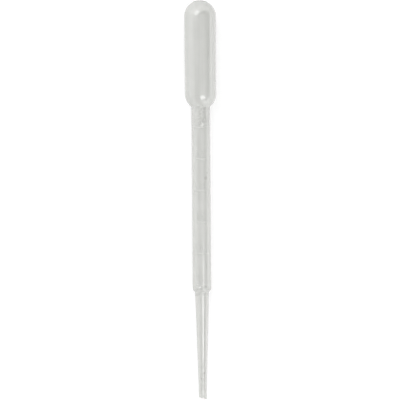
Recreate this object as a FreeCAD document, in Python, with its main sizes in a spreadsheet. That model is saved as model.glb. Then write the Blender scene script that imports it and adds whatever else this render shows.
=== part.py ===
# Graduated transfer pipette, blow-moulded in one piece with its squeeze bulb.
#
# It is one closed skin of soft polyethylene, open only at the tip: a round-ended bulb, a graduated
# stem, a short shoulder, and a long taper that was cut off at the end. It can't stand, so it lies
# on its side as it comes to rest, on the bulb's lower dome and on the shoulder of the stem, with
# the graduations on top.
#
# It is drawn with X along its axis, from the cut tip to the bulb, and with Z pointing out of the
# graduations. It is then laid down: +Z is up, Z = 0 is the surface that it lies on, and the origin
# is below the middle of its length.

import FreeCAD, Part
import math
import os

import Sketcher

NODE = "pipette"

# How far round from the line that it rests on, in degrees, the turned skin closes on itself.
CLOSING_ANGLE = 8.2

# Driving dimensions, in millimetres and degrees. Places along X are from the tip's cut end.
SIZES = {
    "overall_length": (159.8, "from the end of the tip to the top of the bulb's dome"),
    "tip_radius": (1.53, "outer radius of the straight end of the tip"),
    "tip_land": (4.5, "length of the straight end of the tip"),
    "neck_radius": (2.71, "outer radius where the tip's taper meets the shoulder"),
    "root_fillet": (0.9, "hollow radius between the tip's taper and the shoulder"),
    "shoulder_angle": (45.0, "slope of the shoulder from the axis"),
    "shoulder_fillet": (1.5, "rounding between the shoulder and the stem"),
    "stem_start": (44.7, "where the straight stem begins"),
    "stem_radius": (3.68, "outer radius of the stem"),
    "bulb_fillet": (0.8, "hollow radius between the stem and the bulb"),
    "bulb_reach": (37.4, "from the centre of the bulb's lower dome to its top"),
    "base_dome_radius": (6.19, "outer radius of the bulb's lower dome"),
    "top_dome_radius": (6.32, "outer radius of the bulb's top dome"),
    "tip_wall": (0.55, "wall round the orifice"),
    "neck_wall": (0.5, "wall where the tip's taper meets the shoulder"),
    "stem_wall": (0.42, "wall of the shoulder and the stem"),
    "bulb_wall": (0.36, "wall of the bulb, where the skin was blown out furthest"),
    "seam_height": (0.08, "how far the parting line stands out of the skin"),
    "seam_width": (0.24, "width of the parting line"),
    "pinch_height": (0.25, "how far the pinched weld stands out of the top dome"),
    "pinch_width": (0.7, "thickness of the pinched weld"),
    "pinch_arc": (52.0, "arc of the top dome that the weld runs over"),
    "mark_height": (0.16, "how far a graduation bar stands out of the stem"),
    "mark_root": (0.56, "width of a graduation bar at its foot"),
    "mark_crown": (0.3, "width of a graduation bar at its top"),
    "first_mark": (1.4, "from the start of the stem to the lowest graduation"),
    "last_mark": (13.3, "from the highest graduation to the centre of the bulb's lower dome"),
    "mark_pairs": (3, "how many graduations there are of each length, short and long in turn"),
    "short_mark_arc": (64.0, "arc that a half-millilitre bar covers"),
    "long_mark_arc": (104.0, "arc that a whole-millilitre bar covers"),
    "trim_angle": (12.0, "slant of the cut across the tip"),
}


def fill_sheet(doc):
    sheet = doc.addObject("Spreadsheet::Sheet", "Sizes")
    for row, (alias, (value, note)) in enumerate(SIZES.items(), start=1):
        sheet.set(f"A{row}", alias)
        sheet.set(f"B{row}", str(value))
        sheet.set(f"C{row}", note)
        sheet.setAlias(f"B{row}", alias)


def size(alias):
    return SIZES[alias][0]


def given(alias):
    """A driving dimension, as the expression that ties to it and its present value."""
    return f"Sizes.{alias}", size(alias)


def base_centre():
    """Where the bulb's lower dome has its centre."""
    place = "(Sizes.overall_length - Sizes.bulb_reach)"
    return place, size("overall_length") - size("bulb_reach")


def first_mark():
    """Where the lowest graduation is, at half a millilitre."""
    return "(Sizes.stem_start + Sizes.first_mark)", size("stem_start") + size("first_mark")


def mark_pitch():
    """From one graduation to the next, half a millilitre apart, spread evenly along the stem."""
    centre, centre_x = base_centre()
    first, first_x = first_mark()
    pitch = f"(({centre} - Sizes.last_mark - {first}) / (2 * Sizes.mark_pairs - 1))"
    return pitch, (centre_x - size("last_mark") - first_x) / (2 * size("mark_pairs") - 1)


def shoulder_rounding(alias):
    """A rounding of the shoulder, smaller than it is given where the step has no room for it."""
    step = "(Sizes.stem_radius - Sizes.neck_radius)"
    both = "(Sizes.root_fillet + Sizes.shoulder_fillet)"
    used = f"({both} * (1 - cos(Sizes.shoulder_angle * 1 deg)))"
    turn = 1 - math.cos(math.radians(size("shoulder_angle")))
    most = 0.9 * (size("stem_radius") - size("neck_radius"))
    needs = (size("root_fillet") + size("shoulder_fillet")) * turn
    fitted = f"(Sizes.{alias} * min(1; 0.9 * {step} / {used}))"
    return fitted, size(alias) * min(1, most / needs)


def origin_feature(body, role):
    return next(f for f in body.Origin.OriginFeatures if f.Role == role)


def add_sketch(body, name, role):
    sketch = body.newObject("Sketcher::SketchObject", name)
    sketch.AttachmentSupport = (origin_feature(body, role), [""])
    sketch.MapMode = "FlatFace"
    return sketch


def line(start, end):
    return Part.LineSegment(FreeCAD.Vector(*start), FreeCAD.Vector(*end))


def arc(centre, radius, start, end):
    """A counter-clockwise arc between two angles in radians."""
    circle = Part.Circle(FreeCAD.Vector(*centre), FreeCAD.Vector(0, 0, 1), radius)
    return Part.ArcOfCircle(circle, start, end)


def hold(sketch, *constraint):
    return sketch.addConstraint(Sketcher.Constraint(*constraint))


def bind(sketch, name, expression, *constraint):
    """Adds a dimension to a sketch and ties it to the sheet."""
    sketch.renameConstraint(hold(sketch, *constraint), name)
    sketch.setExpression(f"Constraints.{name}", expression)


def finish(body, feature):
    """Takes a feature into the body as its tip."""
    body.Tip = feature
    body.Document.recompute()
    return feature


def add_pad(body, name, sketch, width):
    pad = body.newObject("PartDesign::Pad", name)
    pad.Profile = sketch
    pad.SideType = "Symmetric"
    pad.setExpression("Length", width)
    return finish(body, pad)


def add_turned(body, kind, name, sketch, angle=None):
    """A Revolution or Groove about the pipette's axis, all round or an arc centred on the sketch."""
    turned = body.newObject(f"PartDesign::{kind}", name)
    turned.Profile = sketch
    turned.ReferenceAxis = (sketch, ["H_Axis"])
    if angle is None:
        turned.Type = "TwoAngles"
        turned.Angle = 180 + CLOSING_ANGLE
        turned.Angle2 = 180 - CLOSING_ANGLE
    else:
        turned.Midplane = True
        turned.setExpression("Angle", angle)
    return finish(body, turned)


def grown(radius, skin, sense=1):
    """A radius offset by a skin, which is an alias and a sign. A hollow's sense is -1."""
    if skin is None:
        return radius
    expression, value = radius
    thickness, sign = skin
    sign *= sense
    offset = f"{'+' if sign > 0 else '-'} Sizes.{thickness}"
    return f"{expression} {offset}", value + sign * size(thickness)


def draw_outline(sketch, tip=None, neck=None, stem=None, bulb=None):
    """Half of the pipette's outline, above its axis, offset in each zone by the skin given."""
    tip_radius, tip_y = grown(given("tip_radius"), tip)
    neck_radius, neck_y = grown(given("neck_radius"), neck)
    root_fillet, root_r = grown(shoulder_rounding("root_fillet"), stem, -1)
    shoulder_fillet, shoulder_r = grown(shoulder_rounding("shoulder_fillet"), stem)
    stem_radius, stem_y = grown(given("stem_radius"), stem)
    bulb_fillet, hollow_r = grown(given("bulb_fillet"), stem, -1)
    base_radius, base_r = grown(given("base_dome_radius"), bulb)
    top_radius, top_r = grown(given("top_dome_radius"), bulb)
    length, end_x = grown(given("overall_length"), bulb)
    base_place, base_x = base_centre()

    # Where the outline starts out, close to where the constraints then put it.
    land_x, stem_x = size("tip_land"), size("stem_start")
    top_x = end_x - top_r
    down, up = -math.pi / 2, math.pi / 2
    slope = math.radians(size("shoulder_angle"))
    rise, run = math.sin(slope), math.cos(slope)
    flank = (stem_y - neck_y - (root_r + shoulder_r) * (1 - run)) / rise
    root_x = stem_x - (root_r + shoulder_r) * rise - flank * run
    foot = (root_x + root_r * rise, neck_y + root_r * (1 - run))
    head = (stem_x - shoulder_r * rise, stem_y - shoulder_r * (1 - run))
    hollow_x = base_x - math.sqrt((base_r + hollow_r) ** 2 - (stem_y + hollow_r) ** 2)
    meet = math.atan2(stem_y + hollow_r, hollow_x - base_x)
    lean = up + math.asin((top_r - base_r) / (top_x - base_x))
    low = (base_x + base_r * math.cos(lean), base_r * math.sin(lean))
    high = (top_x + top_r * math.cos(lean), top_r * math.sin(lean))

    # Each piece, which of its ends is nearer the start, and whether it runs on smoothly.
    pieces = [
        (line((0, 0), (0, tip_y)), 1, False),
        (line((0, tip_y), (land_x, tip_y)), 1, False),
        (line((land_x, tip_y), (root_x, neck_y)), 1, True),
        (arc((root_x, neck_y + root_r), root_r, down, down + slope), 1, True),
        (line(foot, head), 1, True),
        (arc((stem_x, stem_y - shoulder_r), shoulder_r, up, up + slope), 2, True),
        (line((stem_x, stem_y), (hollow_x, stem_y)), 1, True),
        (arc((hollow_x, stem_y + hollow_r), hollow_r, down, meet - math.pi), 1, True),
        (arc((base_x, 0), base_r, lean, meet), 2, True),
        (line(low, high), 1, True),
        (arc((top_x, 0), top_r, 0, lean), 2, False),
        (line((end_x, 0), (0, 0)), 1, False),
    ]
    sketch.addGeometry([piece for piece, _, _ in pieces], False)
    face, land, taper, root, cone, shoulder, barrel, hollow, base, side, top, axis = range(12)
    for this, (_, near, smooth) in enumerate(pieces):
        following = (this + 1) % len(pieces)
        far = 3 - near
        hold(sketch, "Tangent" if smooth else "Coincident", this, far, following, pieces[following][1])
    hold(sketch, "Coincident", face, 1, -1, 1)
    hold(sketch, "Vertical", face)
    for flat in (land, barrel, axis):
        hold(sketch, "Horizontal", flat)
    for dome in (base, top):
        hold(sketch, "PointOnObject", dome, 3, -1)
    bind(sketch, "tip_radius", tip_radius, "DistanceY", face, 1, face, 2, tip_y)
    bind(sketch, "tip_land", "Sizes.tip_land", "DistanceX", land, 1, land, 2, land_x)
    bind(sketch, "neck_radius", neck_radius, "DistanceY", -1, 1, taper, 2, neck_y)
    bind(sketch, "root_fillet", root_fillet, "Radius", root, root_r)
    bind(sketch, "shoulder_angle", "Sizes.shoulder_angle * 1 deg", "Angle", cone, slope)
    bind(sketch, "shoulder_fillet", shoulder_fillet, "Radius", shoulder, shoulder_r)
    bind(sketch, "stem_start", "Sizes.stem_start", "DistanceX", -1, 1, barrel, 1, stem_x)
    bind(sketch, "stem_radius", stem_radius, "DistanceY", -1, 1, barrel, 1, stem_y)
    bind(sketch, "bulb_fillet", bulb_fillet, "Radius", hollow, hollow_r)
    bind(sketch, "base_centre", base_place, "DistanceX", -1, 1, base, 3, base_x)
    bind(sketch, "base_radius", base_radius, "Radius", base, base_r)
    bind(sketch, "top_radius", top_radius, "Radius", top, top_r)
    bind(sketch, "length", length, "DistanceX", -1, 1, axis, 1, end_x)


def add_outside(body):
    """The outer form, solid for now."""
    sketch = add_sketch(body, "OuterOutline", "XZ_Plane")
    draw_outline(sketch)
    return add_turned(body, "Revolution", "Outside", sketch)


def add_seam(body):
    """The parting line of the two mould halves, a fine ridge down both sides of the skin."""
    sketch = add_sketch(body, "SeamOutline", "XY_Plane")
    proud = ("seam_height", 1)
    draw_outline(sketch, tip=proud, neck=proud, stem=proud, bulb=proud)
    seam = add_pad(body, "Seam", sketch, "Sizes.seam_width")
    other = body.newObject("PartDesign::Mirrored", "OtherSeam")
    other.Originals = [seam]
    other.MirrorPlane = (origin_feature(body, "XZ_Plane"), [""])
    return finish(body, other)


def add_pinch(body):
    """The weld across the bulb's top, where the mould pinched the hot tube shut."""
    sketch = add_sketch(body, "PinchOutline", "XY_Plane")
    centre_x = size("overall_length") - size("top_dome_radius")
    radius = size("top_dome_radius") + size("pinch_height")
    half = math.radians(size("pinch_arc") / 2)
    centre = (centre_x, 0)
    right = (centre_x + radius * math.cos(half), -radius * math.sin(half))
    left = (centre_x + radius * math.cos(half), radius * math.sin(half))
    pieces = [line(centre, right), arc(centre, radius, -half, half), line(left, centre)]
    sketch.addGeometry(pieces, False)
    going, crest, coming = range(3)
    hold(sketch, "Coincident", going, 2, crest, 1)
    hold(sketch, "Coincident", crest, 2, coming, 1)
    hold(sketch, "Coincident", coming, 2, going, 1)
    hold(sketch, "Coincident", crest, 3, going, 1)
    hold(sketch, "PointOnObject", crest, 3, -1)
    hold(sketch, "Symmetric", crest, 1, crest, 2, -1)
    middle = "Sizes.overall_length - Sizes.top_dome_radius"
    bind(sketch, "centre", middle, "DistanceX", -1, 1, crest, 3, centre_x)
    outer = "Sizes.top_dome_radius + Sizes.pinch_height"
    bind(sketch, "radius", outer, "Radius", crest, radius)
    bind(sketch, "arc", "Sizes.pinch_arc * 1 deg", "Angle", going, 1, coming, 2, 2 * half)
    return add_pad(body, "Pinch", sketch, "Sizes.pinch_width")


def add_marks(body, name, pitches, arc_alias):
    """Every second graduation: a bar wrapped over the front of the stem, repeated along it."""
    sketch = add_sketch(body, f"{name}Section", "XZ_Plane")
    first, first_x = first_mark()
    pitch, pitch_x = mark_pitch()
    start_x = first_x + pitches * pitch_x
    foot, crown = size("mark_root") / 2, size("mark_crown") / 2
    low = size("stem_radius") - size("stem_wall") / 2
    high = size("stem_radius") + size("mark_height")
    corners = [
        (start_x - foot, low),
        (start_x + foot, low),
        (start_x + crown, high),
        (start_x - crown, high),
    ]
    bottom, up, top, down = range(4)
    for side, corner in enumerate(corners):
        sketch.addGeometry(line(corner, corners[(side + 1) % 4]), False)
    for side in range(4):
        hold(sketch, "Coincident", side, 2, (side + 1) % 4, 1)
    hold(sketch, "Horizontal", bottom)
    hold(sketch, "Horizontal", top)
    hold(sketch, "Equal", up, down)
    bind(sketch, "root", "Sizes.mark_root", "DistanceX", bottom, 1, bottom, 2, 2 * foot)
    bind(sketch, "crown", "Sizes.mark_crown", "DistanceX", top, 2, top, 1, 2 * crown)
    inside = "Sizes.stem_radius - Sizes.stem_wall / 2"
    bind(sketch, "inside", inside, "DistanceY", -1, 1, bottom, 1, low)
    proud = "Sizes.stem_radius + Sizes.mark_height"
    bind(sketch, "proud", proud, "DistanceY", -1, 1, top, 1, high)
    edge = f"{first} + {pitches} * {pitch} - Sizes.mark_root / 2"
    bind(sketch, "place", edge, "DistanceX", -1, 1, bottom, 1, start_x - foot)
    mark = add_turned(body, "Revolution", name, sketch, f"Sizes.{arc_alias}")
    row = body.newObject("PartDesign::LinearPattern", f"{name}Row")
    row.Originals = [mark]
    row.Direction = (origin_feature(body, "X_Axis"), [""])
    row.Mode = "Spacing"
    row.setExpression("Offset", f"2 * {pitch}")
    row.setExpression("Occurrences", "Sizes.mark_pairs")
    return finish(body, row)


def add_inside(body):
    """The hollow, from the orifice to the top of the bulb, with a wall of its own in each zone."""
    sketch = add_sketch(body, "InnerOutline", "XZ_Plane")
    draw_outline(
        sketch,
        tip=("tip_wall", -1),
        neck=("neck_wall", -1),
        stem=("stem_wall", -1),
        bulb=("bulb_wall", -1),
    )
    return add_turned(body, "Groove", "Inside", sketch)


def add_trim(body):
    """The cut across the end of the tip, slanted from one side to the other."""
    sketch = add_sketch(body, "TrimOutline", "XY_Plane")
    reach = 2 * size("tip_radius")
    slant = math.tan(math.radians(size("trim_angle")))
    back = size("tip_radius") * slant
    low, high, corner = (-back, -reach), (3 * back, reach), (-back, reach)
    sketch.addGeometry([line(low, high), line(high, corner), line(corner, low)], False)
    cut, top, side = range(3)
    for this in range(3):
        hold(sketch, "Coincident", this, 2, (this + 1) % 3, 1)
    hold(sketch, "Horizontal", top)
    hold(sketch, "Vertical", side)
    run = "Sizes.tip_radius * tan(Sizes.trim_angle * 1 deg)"
    bind(sketch, "back", run, "DistanceX", cut, 1, -1, 1, back)
    bind(sketch, "width", f"4 * {run}", "DistanceX", top, 2, top, 1, 4 * back)
    bind(sketch, "below", "2 * Sizes.tip_radius", "DistanceY", cut, 1, -1, 1, reach)
    bind(sketch, "above", "2 * Sizes.tip_radius", "DistanceY", -1, 1, cut, 2, reach)
    trim = body.newObject("PartDesign::Pocket", "Trim")
    trim.Profile = sketch
    trim.SideType = "Symmetric"
    trim.setExpression("Length", "4 * Sizes.tip_radius")
    return finish(body, trim)


def tilt_onto(place, depth, rounding="0 * Sizes.tip_radius"):
    """How far the tip end sinks, about the bulb's lower dome, until a rounding on it touches."""
    base, _ = base_centre()
    between = f"({base} - {place})"
    climb = f"(Sizes.base_dome_radius - {rounding})"
    return f"asin({climb} / hypot({between}; {depth})) - atan({depth} / {between})"


def lay_down(body):
    """Lays the pipette on Z = 0, on its bulb's lower dome and whatever touches first before it."""
    base, _ = base_centre()
    rounding, _ = shoulder_rounding("shoulder_fillet")
    shoulder = tilt_onto("Sizes.stem_start", f"(Sizes.stem_radius - {rounding})", rounding)
    cut_end = "Sizes.tip_radius * tan(Sizes.trim_angle * 1 deg)"
    tilt = f"min({shoulder}; {tilt_onto(cut_end, 'Sizes.tip_radius')})"
    top = "(Sizes.overall_length - Sizes.top_dome_radius)"
    length = f"({top} * cos({tilt}) + Sizes.top_dome_radius)"
    body.Placement = FreeCAD.Placement(
        FreeCAD.Vector(), FreeCAD.Rotation(FreeCAD.Vector(0, -1, 0), 1)
    )
    body.setExpression("Placement.Rotation.Angle", tilt)
    body.setExpression("Placement.Base.x", f"-{length} / 2")
    body.setExpression("Placement.Base.z", f"Sizes.base_dome_radius - {base} * sin({tilt})")


def check(doc, body):
    """Stops before anything is written if a feature failed or a shape is no good."""
    failed = [o.Name for o in doc.Objects if {"Invalid", "Error"} & set(o.State)]
    if failed:
        raise SystemExit(f"failed: {', '.join(failed)}")
    loose = [
        o.Name
        for o in doc.Objects
        if o.isDerivedFrom("Sketcher::SketchObject") and not o.FullyConstrained
    ]
    if loose:
        raise SystemExit(f"not fully constrained: {', '.join(loose)}")
    shape = body.Shape
    if shape.isNull() or not shape.isValid() or len(shape.Solids) != 1:
        raise SystemExit(f"{body.Label} is not one valid solid")


def main():
    doc = FreeCAD.newDocument("TransferPipette")
    fill_sheet(doc)
    body = doc.addObject("PartDesign::Body", "Pipette")
    body.Label = NODE
    doc.recompute()
    add_outside(body)
    add_seam(body)
    add_pinch(body)
    add_marks(body, "ShortMark", 0, "short_mark_arc")
    add_marks(body, "LongMark", 1, "long_mark_arc")
    add_inside(body)
    add_trim(body)
    lay_down(body)
    doc.recompute()
    check(doc, body)
    os.makedirs("parts", exist_ok=True)
    body.Shape.exportStep(f"parts/{body.Label}.step")
    box = body.Shape.optimalBoundingBox(False)
    print(f"{body.Label}: {box.XLength:.2f} x {box.YLength:.2f} x {box.ZLength:.2f} mm")
    print(f"skin {body.Shape.Volume:.1f} mm3, lowest point {box.ZMin:.3f} mm")


main()
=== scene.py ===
# Looks of the graduated transfer pipette: one thin blown skin of milky polyethylene with its
# parting line, pinched weld, raised graduations and numerals, lying on a pale table.

import math

import bpy
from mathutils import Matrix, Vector


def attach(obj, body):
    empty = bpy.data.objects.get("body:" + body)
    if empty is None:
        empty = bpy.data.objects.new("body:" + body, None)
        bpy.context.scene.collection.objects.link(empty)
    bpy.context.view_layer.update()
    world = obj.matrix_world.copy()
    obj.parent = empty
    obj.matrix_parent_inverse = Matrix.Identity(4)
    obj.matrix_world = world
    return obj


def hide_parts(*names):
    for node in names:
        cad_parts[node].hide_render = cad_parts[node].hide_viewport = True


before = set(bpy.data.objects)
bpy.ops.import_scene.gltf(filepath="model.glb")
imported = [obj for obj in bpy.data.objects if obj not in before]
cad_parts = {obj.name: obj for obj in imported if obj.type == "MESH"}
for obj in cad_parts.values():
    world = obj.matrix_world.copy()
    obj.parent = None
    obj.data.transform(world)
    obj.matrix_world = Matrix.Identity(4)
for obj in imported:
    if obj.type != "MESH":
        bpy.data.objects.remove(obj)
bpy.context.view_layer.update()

mm = 0.001
tiny = 1e-6                     # as good as nothing, in metres or in millimetres


# Lengths are in millimetres on the object's own line, which runs from the cut tip to the bulb.
skin = {
    "length": 159.8,
    "tipRadius": 1.53, "tipLand": 4.5,
    "landRing": 0.6,            # where the land's middle ring is, as a share of it
    "neckRadius": 2.71, "rootRound": 0.9,
    "shoulderSlope": 45.0, "shoulderRound": 1.5,
    "shoulderRun": 2.0,         # what the shoulder takes from the taper's length
    "stemStart": 44.7, "stemRadius": 3.68,
    "bulbRound": 0.8, "bulbReach": 37.4,
    "baseDome": 6.19, "topDome": 6.32,
    "cutSlant": 12.0,           # degrees off square
    "wall": {"tip": 0.55, "neck": 0.5, "stem": 0.42, "bulb": 0.36},
    "around": 72,               # corners in each ring
    "arcStep": 5.0,             # degrees between rings on a rounding
    "arcLeast": 4,              # and the fewest steps in one
    "runStep": 2.4,             # between rings on a straight run
    "seamWidth": 0.22, "seamHeight": 0.07, "seamSteps": 2,
    "seamClear": 0.5,           # the nearest that it comes to the axis
    "seamStop": 22.0,           # degrees from the bulb's top where the weld takes over
    "smoothUnder": 40.0,        # degrees between faces that shade as one
}

baseCentre = skin["length"] - skin["bulbReach"]
topCentre = skin["length"] - skin["topDome"]

# It lies on the bulb and on the edge of the shoulder, so its line is a little off level.
restArm = baseCentre - skin["stemStart"]
restRise = skin["stemRadius"] - skin["shoulderRound"]
restTilt = (math.asin((skin["baseDome"] - skin["shoulderRound"]) / math.hypot(restArm, restRise))
            - math.atan(restRise / restArm))
restX = -(topCentre * math.cos(restTilt) + skin["topDome"]) / 2
restZ = skin["baseDome"] - baseCentre * math.sin(restTilt)


def arcRings(centreX, centreR, radius, start, end):
    count = max(skin["arcLeast"], math.ceil(abs(end - start) / skin["arcStep"]))
    turns = [math.radians(start + (end - start) * i / count) for i in range(count + 1)]
    return [(centreX + radius * math.cos(t), centreR + radius * math.sin(t)) for t in turns]


def runRings(start, end):  # the rings between two ends, without the ends
    (startX, startR), (endX, endR) = start, end
    count = max(1, math.ceil((endX - startX) / skin["runStep"]))
    return [(startX + (endX - startX) * i / count, startR + (endR - startR) * i / count)
            for i in range(1, count)]


def outline(wall, startX):  # the place and radius of each ring, from the tip to the bulb's top
    tipR = skin["tipRadius"] - wall["tip"]
    neckR = skin["neckRadius"] - wall["neck"]
    stemR = skin["stemRadius"] - wall["stem"]
    rootR = skin["rootRound"] + wall["stem"]
    shoulderR = skin["shoulderRound"] - wall["stem"]
    hollowR = skin["bulbRound"] + wall["stem"]
    baseR = skin["baseDome"] - wall["bulb"]
    topR = skin["topDome"] - wall["bulb"]
    slope = math.radians(skin["shoulderSlope"])
    shoulder = arcRings(skin["stemStart"], stemR - shoulderR, shoulderR,
                        90 + skin["shoulderSlope"], 90)
    taperRun = skin["stemStart"] - skin["shoulderRun"] - skin["tipLand"]
    taper = math.degrees(math.atan((neckR - tipR) / taperRun))
    rootY = neckR + rootR * math.cos(math.radians(taper))
    footY = rootY - rootR * math.cos(slope)
    footX = shoulder[0][0] - (shoulder[0][1] - footY) / math.tan(slope)
    root = arcRings(footX - rootR * math.sin(slope), rootY, rootR,
                    taper - 90, skin["shoulderSlope"] - 90)
    hollowY = stemR + hollowR
    hollowX = baseCentre - math.sqrt((baseR + hollowR) ** 2 - hollowY ** 2)
    meet = math.degrees(math.atan2(hollowY, hollowX - baseCentre))
    lean = 90 + math.degrees(math.asin((topR - baseR) / (topCentre - baseCentre)))
    hollow = arcRings(hollowX, hollowY, hollowR, -90, meet - 180)
    base = arcRings(baseCentre, 0, baseR, meet, lean)
    top = arcRings(topCentre, 0, topR, lean, 0)
    land = [(startX, tipR), (skin["tipLand"] * skin["landRing"], tipR), (skin["tipLand"], tipR)]
    return (land + runRings(land[-1], root[0]) + root
            + shoulder + runRings(shoulder[-1], hollow[0])
            + hollow + base[1:] + runRings(base[-1], top[0]) + top)


def clearSelection():
    if bpy.context.object and bpy.context.object.mode != "OBJECT":
        bpy.ops.object.mode_set(mode="OBJECT")
    bpy.ops.object.select_all(action="DESELECT")


def workOn(piece):  # the next operators act on this piece alone
    clearSelection()
    piece.select_set(True)
    bpy.context.view_layer.objects.active = piece


def settle(piece):  # its place, turn and scale go into its mesh
    workOn(piece)
    bpy.ops.object.transform_apply(location=True, rotation=True, scale=True)


def putAt(piece, turn=(0, 0, 0), at=(0, 0, 0)):  # turned in radians, then moved in millimetres
    piece.rotation_euler = turn
    piece.location = [v * mm for v in at]
    settle(piece)


def layDown(piece):  # from its own line to how it lies
    putAt(piece, (0, -restTilt, 0), (restX, 0, restZ))


def pick(piece, kind, test):  # in edit mode: selects vertices or edges by their place
    bpy.ops.mesh.select_all(action="DESELECT")
    bpy.ops.mesh.select_mode(type={"vertices": "VERT", "edges": "EDGE"}[kind])
    bpy.ops.object.mode_set(mode="OBJECT")
    mesh = piece.data
    if kind == "vertices":
        for vertex in mesh.vertices:
            vertex.select = test(vertex.co)
    else:
        for edge in mesh.edges:
            edge.select = all(test(mesh.vertices[v].co) for v in edge.vertices)
    bpy.ops.object.mode_set(mode="EDIT")


def drawTube(name, wall, startX):  # one ring extruded and resized along the whole outline
    rings = outline(wall, startX)
    clearSelection()
    bpy.ops.mesh.primitive_circle_add(
        vertices=skin["around"], radius=rings[0][1] * mm, fill_type="NOTHING",
        location=(rings[0][0] * mm, 0, 0), rotation=(0, math.pi / 2, 0))
    tube = bpy.context.object
    tube.name = name
    settle(tube)
    bpy.ops.object.mode_set(mode="EDIT")
    bpy.ops.mesh.select_all(action="SELECT")
    for (lastX, lastR), (x, r) in zip(rings, rings[1:]):
        bpy.ops.mesh.extrude_region_move(
            TRANSFORM_OT_translate={"value": ((x - lastX) * mm, 0, 0)})
        if r < tiny:
            bpy.ops.mesh.merge(type="CENTER")
        else:
            bpy.ops.transform.resize(
                value=(1, r / lastR, r / lastR), center_override=(x * mm, 0, 0))
    bpy.ops.mesh.select_all(action="SELECT")
    bpy.ops.mesh.normals_make_consistent(inside=False)
    bpy.ops.object.mode_set(mode="OBJECT")
    return tube


def raiseSeam(tube):  # the two parting lines, bevelled into the skin and fattened
    workOn(tube)
    bpy.ops.object.mode_set(mode="EDIT")
    stop = topCentre + skin["topDome"] * math.cos(math.radians(skin["seamStop"]))
    clear = skin["seamClear"] * mm
    onLine = lambda p: abs(p.z) < tiny and abs(p.y) > clear and p.x < stop * mm
    pick(tube, "edges", onLine)
    bpy.ops.mesh.bevel(offset=skin["seamWidth"] / 2 * mm, segments=skin["seamSteps"],
                       profile=0.5, affect="EDGES", clamp_overlap=True)
    pick(tube, "vertices", onLine)
    bpy.ops.transform.shrink_fatten(value=skin["seamHeight"] * mm)
    bpy.ops.object.mode_set(mode="OBJECT")


def makeSkin():
    slant = math.radians(skin["cutSlant"])
    reach = (skin["tipRadius"] + skin["seamHeight"]) * math.tan(slant)  # half the cut's run
    outer = drawTube("skin", dict.fromkeys(skin["wall"], 0.0), -reach)
    raiseSeam(outer)
    inner = drawTube("hollow", skin["wall"], -reach)
    workOn(inner)
    bpy.ops.object.mode_set(mode="EDIT")
    bpy.ops.mesh.select_all(action="SELECT")
    bpy.ops.mesh.flip_normals()
    bpy.ops.object.mode_set(mode="OBJECT")
    outer.select_set(True)
    bpy.context.view_layer.objects.active = outer
    bpy.ops.object.join()
    bpy.ops.object.mode_set(mode="EDIT")
    bpy.ops.mesh.select_all(action="SELECT")
    cutNormal = (-math.cos(slant), math.sin(slant), 0)
    bpy.ops.mesh.bisect(plane_co=(reach * mm, 0, 0), plane_no=cutNormal, clear_outer=True)
    onCut = lambda p: abs((p.x - reach * mm) * cutNormal[0] + p.y * cutNormal[1]) < tiny
    pick(outer, "edges", onCut)
    bpy.ops.mesh.bridge_edge_loops()
    bpy.ops.object.mode_set(mode="OBJECT")
    layDown(outer)
    bpy.ops.object.shade_smooth_by_angle(angle=math.radians(skin["smoothUnder"]))
    return outer


pipette = makeSkin()
print("skin made:", len(pipette.data.polygons), "faces")


# The pinched weld over the bulb's top.
weld = {
    "arc": 52.0, "steps": 26,
    "width": 0.7, "proud": 0.14, "sink": 0.22,
    "sharp": 50.0,              # degrees over which an edge is softened
    "soften": 0.13, "softenSteps": 4,
    "smoothUnder": 60.0,
}


def sweepSection(name, section, arc, steps, finish):  # a band swept round the object's line
    low, high, foot, crown = section  # inner and outer radius, width at the foot and the crown
    middle = (low + high) / 2 * mm
    clearSelection()
    bpy.ops.mesh.primitive_plane_add(
        size=1, rotation=(math.pi / 2, 0, 0), location=(0, 0, middle))
    band = bpy.context.object
    band.name = name
    band.scale = (foot * mm, (high - low) * mm, 1)
    settle(band)
    bpy.ops.object.mode_set(mode="EDIT")
    pick(band, "vertices", lambda p: p.z > middle)
    bpy.ops.transform.resize(value=(crown / foot, 1, 1), center_override=(0, 0, 0))
    bpy.ops.mesh.select_all(action="SELECT")
    bpy.ops.mesh.spin(steps=steps, angle=math.radians(arc), center=(0, 0, 0), axis=(1, 0, 0))
    bpy.ops.mesh.select_all(action="SELECT")
    bpy.ops.mesh.remove_doubles(threshold=tiny / 10)
    bpy.ops.mesh.normals_make_consistent(inside=False)
    bpy.ops.mesh.select_all(action="DESELECT")
    bpy.ops.mesh.edges_select_sharp(sharpness=math.radians(finish["sharp"]))
    bpy.ops.mesh.bevel(offset=finish["soften"] * mm, segments=finish["softenSteps"],
                       profile=0.5, affect="EDGES", clamp_overlap=True)
    bpy.ops.object.mode_set(mode="OBJECT")
    centre = sum((v.co for v in band.data.vertices), Vector())
    putAt(band, (math.atan2(centre.y, centre.z), 0, 0))  # its middle on top
    bpy.ops.object.shade_smooth_by_angle(angle=math.radians(finish["smoothUnder"]))
    return band


def makeWeld():
    section = (skin["topDome"] - weld["sink"], skin["topDome"] + weld["proud"],
               weld["width"], weld["width"])
    rib = sweepSection("pinchedWeld", section, weld["arc"], weld["steps"], weld)
    putAt(rib, (0, math.pi / 2, 0), (topCentre, 0, 0))  # its middle at the bulb's end
    layDown(rib)
    return rib


rib = makeWeld()
print("weld made:", len(rib.data.polygons), "faces")


# Raised graduations, half a millilitre apart: short and long bars in turn.
marks = {
    "first": 1.4,               # from the start of the stem to the lowest
    "last": 13.3,               # from the highest to the middle of the bulb's lower dome
    "count": 6,
    "shortArc": 64.0, "longArc": 104.0,
    "stepArc": 4.0,
    "foot": 0.9, "crown": 0.28, "proud": 0.16, "sink": 0.15,
    "sharp": 30.0,
    "soften": 0.24, "softenSteps": 4,
    "smoothUnder": 60.0,
}
firstMark = skin["stemStart"] + marks["first"]
markPitch = (baseCentre - marks["last"] - firstMark) / (marks["count"] - 1)


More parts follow.
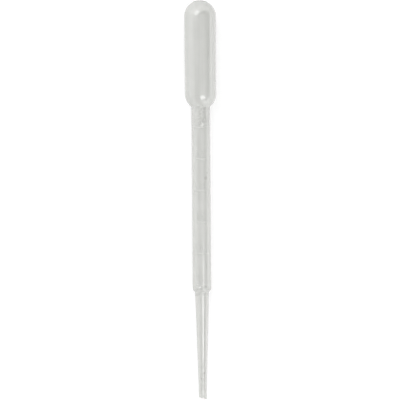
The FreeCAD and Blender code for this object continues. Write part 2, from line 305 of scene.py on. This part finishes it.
def placeCopy(pattern, name, along):
    copy = pattern.copy()
    copy.data = pattern.data.copy()
    bpy.context.scene.collection.objects.link(copy)
    copy.name = name
    putAt(copy, at=(along, 0, 0))
    layDown(copy)
    return copy


def makeMarks():
    made = []
    section = (skin["stemRadius"] - marks["sink"], skin["stemRadius"] + marks["proud"],
               marks["foot"], marks["crown"])
    for name, arc, first in (("shortMark", marks["shortArc"], 0),
                             ("longMark", marks["longArc"], 1)):
        pattern = sweepSection(name, section, arc, round(arc / marks["stepArc"]), marks)
        made += [placeCopy(pattern, f"{name}_{i + 1}", firstMark + i * markPitch)
                 for i in range(first, marks["count"], 2)]
        bpy.data.objects.remove(pattern)
    return made


bars = makeMarks()
print("graduations made:", len(bars))


# Raised numerals beside the bars, wrapped round the stem.
numerals = {
    "words": ("0.5", "1 ml", "1.5", "2 ml", "2.5", "3 ml"),
    "height": 2.7,              # of a figure
    "figureShare": 0.72,        # what a figure's height is of the type's size
    "narrow": 0.8,              # width against height
    "above": 0.85,              # clear of the bar
    "aside": 0.7,               # from the top of the stem towards +Y
    "proud": 0.11, "sink": 0.12,
    "thicken": 0.05,            # of the strokes
    "grain": 0.062,             # cells that round the strokes off
    "softenings": 3,
}


def finishWith(piece, name, kind, **settings):  # one modifier, applied
    modifier = piece.modifiers.new(name, kind)
    for key, value in settings.items():
        setattr(modifier, key, value)
    bpy.ops.object.modifier_apply(modifier=modifier.name)


def makeNumeral(index, word):
    around = skin["stemRadius"] + (numerals["proud"] - numerals["sink"]) / 2
    clearSelection()
    bpy.ops.object.text_add(location=(0, 0, 0))
    text = bpy.context.object
    text.data.body = word
    text.data.size = numerals["height"] / numerals["figureShare"] * mm
    text.data.align_x = "CENTER"
    text.data.offset = numerals["thicken"] * mm
    text.data.extrude = (numerals["proud"] + numerals["sink"]) / 2 * mm
    bpy.ops.object.convert(target="MESH")
    text = bpy.context.object
    text.name = f"numeral_{index + 1}"
    text.scale = (numerals["narrow"], 1, 1)
    settle(text)
    finishWith(text, "grain", "REMESH", mode="VOXEL", voxel_size=numerals["grain"] * mm)
    finishWith(text, "soften", "SMOOTH", iterations=numerals["softenings"])
    putAt(text, (0, 0, -math.pi / 2))
    putAt(text, (math.pi / 2, 0, 0))  # its width is now along Z and its face towards -Y
    heights = [v.co.z for v in text.data.vertices]
    finishWith(text, "wrap", "SIMPLE_DEFORM", deform_method="BEND", deform_axis="X",
               angle=(max(heights) - min(heights)) / (around * mm))
    putAt(text, (-math.pi / 2, 0, 0), (0, 0, around))  # face up again, on the stem
    along = firstMark + index * markPitch + marks["foot"] / 2 + numerals["above"]
    putAt(text, (-numerals["aside"] / around, 0, 0), (along, 0, 0))
    layDown(text)
    bpy.ops.object.shade_smooth()
    return text


words = [makeNumeral(i, word) for i, word in enumerate(numerals["words"])]
print("numerals made:", sum(len(w.data.polygons) for w in words), "faces")


class Value:  # a shader socket that plain sums can be written with
    def __init__(self, graph, socket):
        self.graph, self.socket = graph, socket

    def __add__(self, other): return self.graph.maths("ADD", self, other)
    def __radd__(self, other): return self.graph.maths("ADD", other, self)
    def __sub__(self, other): return self.graph.maths("SUBTRACT", self, other)
    def __rsub__(self, other): return self.graph.maths("SUBTRACT", other, self)
    def __mul__(self, other): return self.graph.maths("MULTIPLY", self, other)
    def __rmul__(self, other): return self.graph.maths("MULTIPLY", other, self)
    def __truediv__(self, other): return self.graph.maths("DIVIDE", self, other)
    def __rtruediv__(self, other): return self.graph.maths("DIVIDE", other, self)


class Graph:  # the nodes of one material or world
    def __init__(self, owner):
        owner.use_nodes = True
        self.tree = owner.node_tree
        self.tree.nodes.clear()

    def add(self, kind, settings, sockets, out=0):  # settings first, then values or links
        node = self.tree.nodes.new("ShaderNode" + kind)
        for key, value in settings.items():
            if key == "stops":
                band = node.color_ramp.elements
                band[0].position, band[-1].position = value[0][0], value[-1][0]
                for place, level in value[1:-1]:
                    band.new(place)
                for element, (place, level) in zip(band, value):
                    element.color = (level, level, level, 1)
            else:
                setattr(node, key, value)
        for key, value in sockets.items():
            if isinstance(value, Value):
                self.tree.links.new(value.socket, node.inputs[key])
            else:
                node.inputs[key].default_value = value
        return Value(self, node.outputs[out]) if node.outputs else None

    def maths(self, operation, first, second=0.0):
        return self.add("Math", {"operation": operation}, {0: first, 1: second})

    def ramp(self, value, low, high, atLow=0.0, atHigh=1.0):
        return self.add("MapRange", {"interpolation_type": "SMOOTHSTEP"}, {
            "Value": value, "From Min": low, "From Max": high,
            "To Min": atLow, "To Max": atHigh})

    def mix(self, amount, first, second):
        return self.add("Mix", {"data_type": "RGBA"},
                        {"Factor": amount, "A": first, "B": second}, out="Result")

    def noise(self, vector, scale, detail=2.0):
        return self.add("TexNoise", {}, {"Vector": vector, "Scale": scale, "Detail": detail})


# Milky polyethylene.
plastic = {
    "milk": (0.762, 0.767, 0.744, 1), "shade": (0.725, 0.73, 0.703, 1),
    # the colour of the dirt in the specks, and of the greyed patches, which are painted shade
    # below the bulb and at the shoulder
    "dirtAndShade": (0.24, 0.23, 0.20, 1),
    "toneDraw": 0.6, "toneCloud": 0.4,  # shares of the streaks and clouds that mix the two
    "toneSpan": (0.36, 0.62),           # all shade below, all milk above
    "clear": 0.36,              # share of light that goes straight through a face
    "clearRim": 0.30,           # and through one seen nearly edge on
    "clearSpan": (0.25, 0.95),  # where that changes, from 0 face on to 1 edge on
    "through": (0.96, 0.96, 0.95, 1),
    "sheen": 1.0, "index": 1.8,
    "gloss": 0.13, "dull": 0.20, "glossSpan": (0.3, 0.7),  # roughness, over the clouds
    "drawScale": (16, 950, 950),    # lengthwise streaks from the blowing
    "cloudScale": 240, "grainScale": 5200, "rippleScale": 850, "raggedScale": 1500,
    "drawDepth": 0.10, "grainDepth": 0.02, "dimpleDepth": 0.12,
    "bumpReach": 0.1,
    "rippled": (  # where the skin is uneven and greyed, the grey being painted shade below the bulb and at the shoulder: from, to, depth, greyness, half width
        (109.0, 119.4, 2.6, 0.12, 2.0), (41.5, 45.5, 3.6, 0.08, 9.0),
        (-1.0, 15.0, 2.5, 0.11, 9.0)),
    "rippleCore": 0.7, "greyCore": 0.5,  # shares of the half sizes that have it in full
    "greyRight": 0.3,                    # of the greyed patches' middle, towards -Y, so that the painted shade below the bulb runs just right of the stem's top
    "greySpan": (0.38, 0.6),
    "specks": (  # from the tip's end in mm, degrees to the right of the top, size in mm, strength
        (88.9, 30, 0.95, 0.22), (91.0, 40, 0.6, 0.18),
        (10.6, 22, 0.5, 0.4), (8.4, -14, 0.45, 0.35)),
    "speckCore": 0.4,           # share of a speck's size that has its full strength
    "speckTaper": 1.15,         # radius at the tip's specks against the tip's own
    "raggedBase": 0.5,          # what the noise that makes its edge ragged adds to
}


def makePlastic():
    material = bpy.data.materials.new("milkyPolyethylene")
    g = Graph(material)
    place = g.add("TexCoord", {}, {}, out="Object")
    own = g.add("Mapping", {"vector_type": "TEXTURE"}, {  # back on the object's own line
        "Vector": place, "Location": (restX * mm, 0, restZ * mm), "Rotation": (0, -restTilt, 0)})
    stretched = g.add("Mapping", {}, {"Vector": own, "Scale": plastic["drawScale"]})
    draw = g.noise(stretched, 1.0, detail=3.0)
    cloud = g.noise(own, plastic["cloudScale"], detail=3.0)
    grain = g.noise(own, plastic["grainScale"])
    tone = g.ramp(draw * plastic["toneDraw"] + cloud * plastic["toneCloud"], *plastic["toneSpan"])
    colour = g.mix(tone, plastic["shade"], plastic["milk"])
    along, across = (g.add("SeparateXYZ", {}, {"Vector": own}, out=axis) for axis in "XY")
    height = (draw * plastic["drawDepth"] + grain * plastic["grainDepth"]
              + cloud * plastic["dimpleDepth"])
    ripple = g.noise(own, plastic["rippleScale"])
    for start, end, depth, grey, wide in plastic["rippled"]:
        middle, half = (start + end) / 2, (end - start) / 2
        within = g.ramp(g.maths("ABSOLUTE", along - middle * mm),
                        plastic["rippleCore"] * half * mm, half * mm, 1.0, 0.0)
        height = height + ripple * within * depth
        aside = g.maths("ABSOLUTE", across + plastic["greyRight"] * mm)
        within = within * g.ramp(aside, plastic["greyCore"] * wide * mm, wide * mm, 1.0, 0.0)
        # painted shade: mottled grey over the stem just below the bulb and over the shoulder, and
        # the same grey mottling over the tip's end
        shadeAndGreyMask = within * g.ramp(ripple, *plastic["greySpan"], 0.0, grey)
        colour = g.mix(shadeAndGreyMask, colour, plastic["dirtAndShade"])
    for fromTip, turn, size, strength in plastic["specks"]:
        onStem = fromTip > skin["stemStart"]
        radius = skin["stemRadius"] if onStem else skin["tipRadius"] * plastic["speckTaper"]
        right, up = math.sin(math.radians(turn)), math.cos(math.radians(turn))
        spot = (fromTip * mm, -radius * right * mm, radius * up * mm)
        away = g.add("VectorMath", {"operation": "DISTANCE"}, {0: own, 1: spot}, out="Value")
        ragged = away * (plastic["raggedBase"] + g.noise(own, plastic["raggedScale"]))
        dirty = g.ramp(ragged, size * plastic["speckCore"] * mm, size * mm, strength, 0.0)
        colour = g.mix(dirty, colour, plastic["dirtAndShade"])
    rough = g.ramp(cloud, *plastic["glossSpan"], plastic["gloss"], plastic["dull"])
    bump = g.add("Bump", {}, {
        "Height": height, "Strength": 1.0, "Distance": plastic["bumpReach"] * mm})
    body = g.add("BsdfPrincipled", {}, {
        "Base Color": colour, "Roughness": rough, "Normal": bump,
        "Specular IOR Level": plastic["sheen"], "IOR": plastic["index"]})
    through = g.add("BsdfTransparent", {}, {"Color": plastic["through"]})
    edgeOn = g.add("LayerWeight", {}, {"Blend": 0.5}, out="Facing")
    clear = g.ramp(edgeOn, *plastic["clearSpan"], plastic["clear"], plastic["clearRim"])
    shell = g.add("MixShader", {}, {0: clear, 1: body, 2: through})
    g.add("OutputMaterial", {}, {"Surface": shell})
    return material


milky = makePlastic()
for piece in (pipette, rib, *bars, *words):
    piece.data.materials.clear()
    piece.data.materials.append(milky)
    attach(piece, "root")
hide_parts("pipette")
print("plastic made")


# Pale table and soft studio light. Right is -Y, fore is towards the bulb's end. Bands of the sky
# run lengthwise between a fore edge and an aft edge, which are given as lengths over heights, and
# turns are radians to the right of straight up.
studio = {
    "tableSize": 30.0, "table": (0.5, 0.5, 0.5, 1),
    "tableLift": 0.58,          # light of its own, seen directly and in mirrors
    "walls": 1.505,             # light of the room round the bands
    "bands": (  # degrees to the right of straight up, share of the walls' light
        (-180, 0.8), (-88, 1.0), (-82, 1.0), (-76, 0.5), (-70, 0.5), (-62, 0.74), (-52, 0.68),
        (-38, 0.26), (-22, 0.28), (-4, 0.46), (28, 0.42), (40, 0.33), (48, 0.0), (68, 0.0),
        (83, 1.0), (180, 1.0)),
    "foreEnd": 0.10, "foreSlant": 0.72, "foreSoft": 0.08,
    "foreStep": 0.35, "stepTurn": (-0.4, 0.1),      # the edge steps on by this, at these turns
    "foreShare": 0.88,                              # of the walls' light beyond the fore edge
    "aftEnd": -8.0, "aftSlant": 16.0, "aftTurn": 0.4, "aftSoft": 0.6,
    "horizonSoft": 0.1,
    "hoodLeft": (-0.5, -0.1), "hoodRight": (0.85, 1.1),  # a dark hood over the bands' fore end
    "hoodAft": (0.1, 0.2),
    "lamps": (  # name, place in metres, long side, short side, watts, mirrored in the skin
        ("rightLow", (0, -0.80, 0.12), 1.3, 0.24, 1.0, False),
        ("aftLow", (-0.52, -0.62, 0.13), 0.6, 0.24, 1.2, False),
        ("leftLow", (0, 0.80, 0.20), 1.3, 0.40, 0.3, False),
        ("upperSpot", (0.385, 0.312, 0.62), 0.46, 0.40, 0.90, True),
        ("lowerSpot", (-0.335, -0.228, 0.695), 0.43, 0.43, 1.6, True),
    ),
}


def makeTable():
    clearSelection()
    bpy.ops.mesh.primitive_plane_add(size=studio["tableSize"], location=(0, 0, 0))
    table = bpy.context.object
    table.name = "table"
    material = bpy.data.materials.new("paleTable")
    g = Graph(material)
    camera, glossy, transmission = (g.add("LightPath", {}, {}, out=f"Is {kind} Ray")
                                    for kind in ("Camera", "Glossy", "Transmission"))
    shown = camera + glossy + transmission
    paint = g.add("BsdfDiffuse", {}, {"Color": studio["table"]})
    lift = g.add("Emission", {}, {
        "Color": (1, 1, 1, 1), "Strength": shown * studio["tableLift"]})
    both = g.add("AddShader", {}, {0: paint, 1: lift})
    g.add("OutputMaterial", {}, {"Surface": both})
    material.cycles.emission_sampling = "NONE"
    table.data.materials.append(material)


def makeSky():
    world = bpy.data.worlds.new("studio")
    bpy.context.scene.world = world
    g = Graph(world)
    way = g.add("TexCoord", {}, {}, out="Generated")
    along, left, up = (g.add("SeparateXYZ", {}, {"Vector": way}, out=axis) for axis in "XYZ")
    right = g.maths("ARCTAN2", 0 - left, up)
    fore = along / up
    stops = [(degrees / 360 + 0.5, share) for degrees, share in studio["bands"]]
    share = g.add("ValToRGB", {"stops": stops}, {"Fac": right / (2 * math.pi) + 0.5})
    turned = g.maths("MAXIMUM", right, 0.0)
    step = g.ramp(right, *studio["stepTurn"], 0.0, studio["foreStep"])
    foreEdge = fore - turned * studio["foreSlant"] - step - studio["foreEnd"]
    aftTurned = g.maths("MINIMUM", turned, studio["aftTurn"])
    aftEdge = fore - aftTurned * studio["aftSlant"] - studio["aftEnd"]
    ahead = g.ramp(foreEdge, -studio["foreSoft"], studio["foreSoft"])
    inside = ((1 - ahead) * g.ramp(aftEdge, -studio["aftSoft"], studio["aftSoft"])
              * g.ramp(up, 0.0, studio["horizonSoft"]))
    hood = (g.ramp(right, *studio["hoodLeft"]) * g.ramp(right, *studio["hoodRight"], 1.0, 0.0)
            * g.ramp(fore, *studio["hoodAft"]))
    share = share * (1 - hood)
    level = studio["walls"] * (1 - inside * (1 - share) - ahead * (1 - studio["foreShare"]))
    sky = g.add("Background", {}, {"Color": (1, 1, 1, 1), "Strength": level})
    g.add("OutputWorld", {}, {"Surface": sky})


def makeLamps():
    for name, place, long, short, watts, mirrored in studio["lamps"]:
        light = bpy.data.lights.new(name, "AREA")
        light.shape, light.size, light.size_y, light.energy = "RECTANGLE", long, short, watts
        lamp = bpy.data.objects.new(name, light)
        bpy.context.scene.collection.objects.link(lamp)
        lamp.visible_glossy = mirrored
        lamp.location = place
        lamp.rotation_euler = (-Vector(place)).to_track_quat("-Z", "Y").to_euler()


makeTable()
makeSky()
makeLamps()
bpy.context.scene.view_settings.view_transform = "Standard"


view = {
    "place": (0.00012, 0.00055, 0.9),
    "lens": 201.0, "sensor": 36, "clip": (0.01, 50),
    "turn": -90.43,             # degrees: looks straight down, with the bulb at the top
}


def makeCamera():
    camera = bpy.data.objects.new("camera", bpy.data.cameras.new("camera"))
    bpy.context.scene.collection.objects.link(camera)
    camera.data.lens, camera.data.sensor_width = view["lens"], view["sensor"]
    camera.data.clip_start, camera.data.clip_end = view["clip"]
    camera.location = view["place"]
    camera.rotation_euler = (0, 0, math.radians(view["turn"]))
    bpy.context.scene.camera = camera


makeCamera()
print("studio made")
